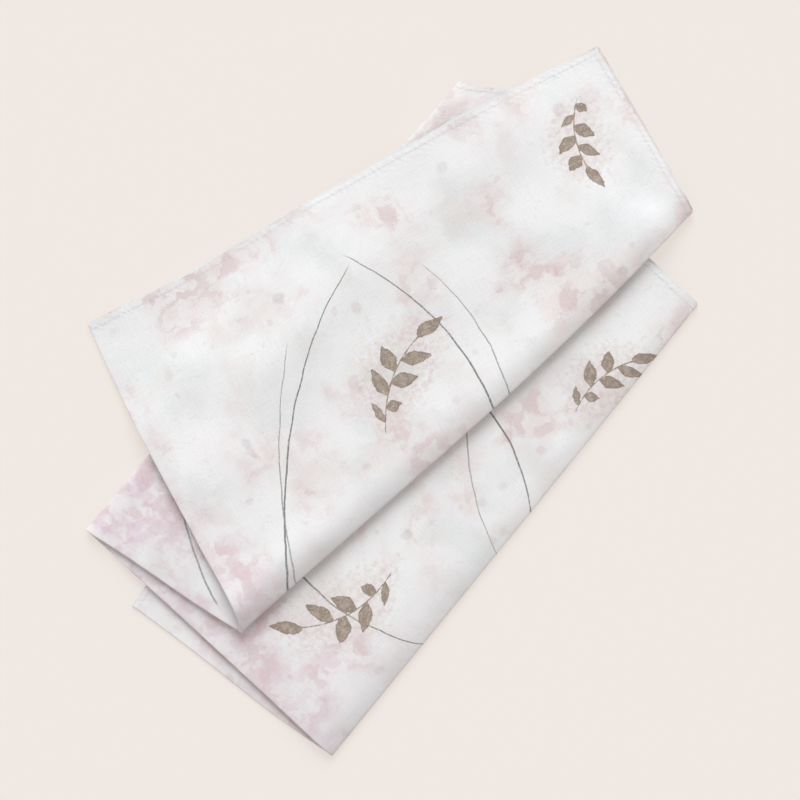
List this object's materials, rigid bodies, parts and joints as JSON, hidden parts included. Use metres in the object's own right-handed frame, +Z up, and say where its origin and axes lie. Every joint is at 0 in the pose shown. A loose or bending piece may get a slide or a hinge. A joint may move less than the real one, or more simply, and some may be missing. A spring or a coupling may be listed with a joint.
{
  "type": "folded cloth napkin",
  "caption": "Square cloth napkin folded in half, then loosely back and forth, its panels fanned and lying flat on a surface.",
  "frame": {"origin": "middle of the bounding box in plan, on the surface that the napkin lies on", "axes": "+X along the frontmost fold towards the open side, -X the closed half fold, +Y back from the frontmost fold towards the hem on top, +Z up"},
  "size_m": [0.3206, 0.2036, 0.013],
  "materials": {
    "cotton": "matt plain weave with a soft print on the outside"
  },
  "bodies": {
    "root": {"napkin": "cotton"}
  },
  "joints": []
}
